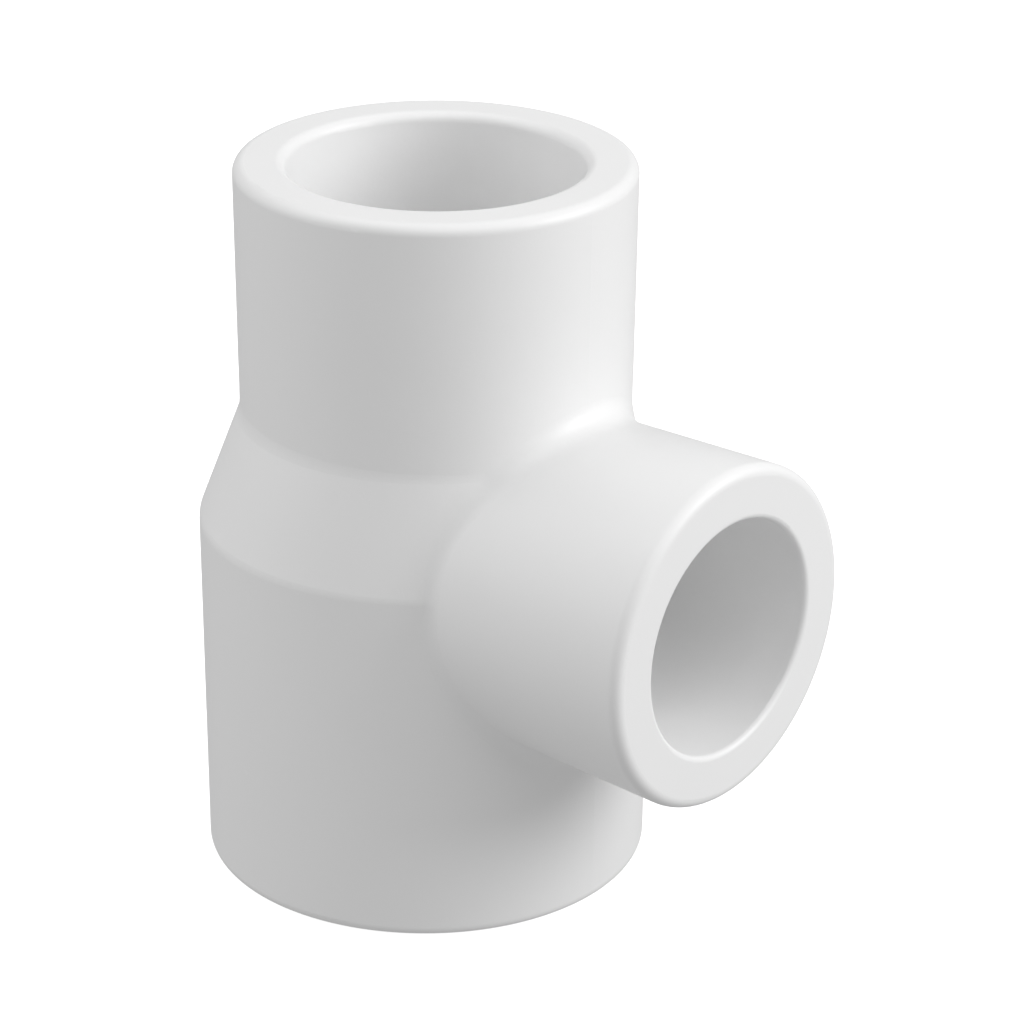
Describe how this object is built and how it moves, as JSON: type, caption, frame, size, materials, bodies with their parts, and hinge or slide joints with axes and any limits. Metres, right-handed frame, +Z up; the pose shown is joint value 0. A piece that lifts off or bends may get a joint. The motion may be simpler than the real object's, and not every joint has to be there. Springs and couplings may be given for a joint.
{
  "type": "eccentric reducing tee",
  "caption": "White plastic pipe tee whose run narrows through an eccentric cone from a large socket to a smaller one, with a third, smallest socket at right angles.",
  "frame": {"origin": "centre of the large socket's rim, which the fitting stands on", "axes": "+Z up the run towards the small socket, +X out along the branch, +Y across"},
  "size_m": [0.0568, 0.0418, 0.0679],
  "materials": {
    "white_pvc": "satin moulded PVC"
  },
  "bodies": {
    "root": {"large_socket": "white_pvc", "tee_body": "white_pvc", "small_socket": "white_pvc", "branch_socket": "white_pvc"}
  },
  "joints": []
}
